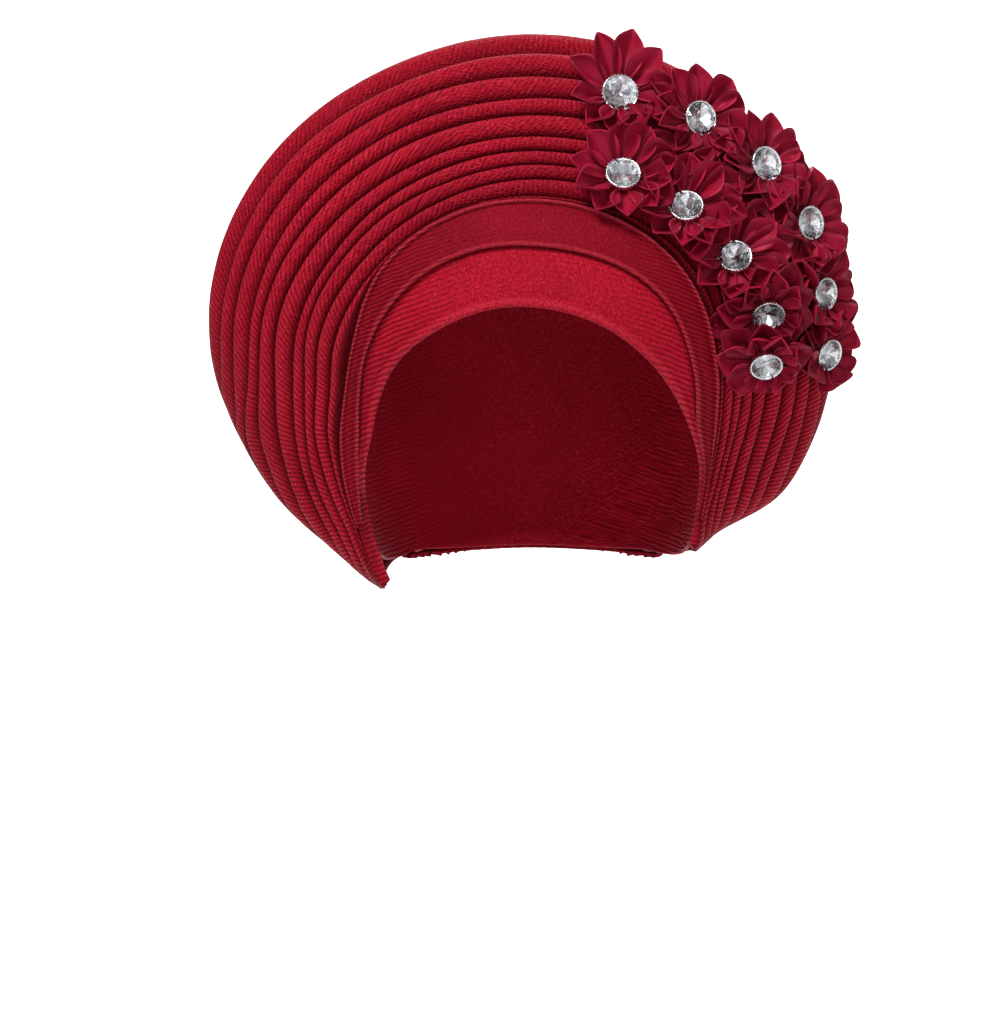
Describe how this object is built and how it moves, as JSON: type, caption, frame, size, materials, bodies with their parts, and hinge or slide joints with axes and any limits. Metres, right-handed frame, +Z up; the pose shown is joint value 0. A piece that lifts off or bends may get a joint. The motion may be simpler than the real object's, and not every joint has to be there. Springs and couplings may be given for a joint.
{
  "type": "tied gele head tie",
  "caption": "Crimson woven head tie pleated into a wide fan round the face, with brow bands and rows of satin ribbon flowers that carry clear cut stones",
  "frame": {"origin": "The inside top of the cap, where the head bears, on the head's upright middle line.", "axes": "+Z up, +X to the right as seen from the front, the side that carries the flowers, +Y to the back of the head; the face opening faces -Y."},
  "size_m": [0.2731, 0.1951, 0.2335],
  "materials": {
    "head_cloth": "crimson ribbed twill weave with a small sparkle, pleated",
    "band_cloth": "crimson ribbed twill weave, smooth over the brow",
    "petal_satin": "smooth deep crimson satin ribbon",
    "silver_rim": "bright silvery rim",
    "clear_stone": "clear cut stone"
  },
  "bodies": {
    "root": {"base_cap": "band_cloth", "upper_band": "band_cloth", "pleated_fan": "head_cloth", "flower_01": "petal_satin", "flower_02": "petal_satin", "flower_03": "petal_satin", "flower_04": "petal_satin", "flower_05": "petal_satin", "flower_06": "petal_satin", "flower_07": "petal_satin", "flower_08": "petal_satin", "flower_09": "petal_satin", "flower_10": "petal_satin", "flower_11": "petal_satin", "setting_01": "silver_rim", "setting_02": "silver_rim", "setting_03": "silver_rim", "setting_04": "silver_rim", "setting_05": "silver_rim", "setting_06": "silver_rim", "setting_07": "silver_rim", "setting_08": "silver_rim", "setting_09": "silver_rim", "setting_10": "silver_rim", "setting_11": "silver_rim", "stone_01": "clear_stone", "stone_02": "clear_stone", "stone_03": "clear_stone", "stone_04": "clear_stone", "stone_05": "clear_stone", "stone_06": "clear_stone", "stone_07": "clear_stone", "stone_08": "clear_stone", "stone_09": "clear_stone", "stone_10": "clear_stone", "stone_11": "clear_stone"}
  },
  "joints": []
}
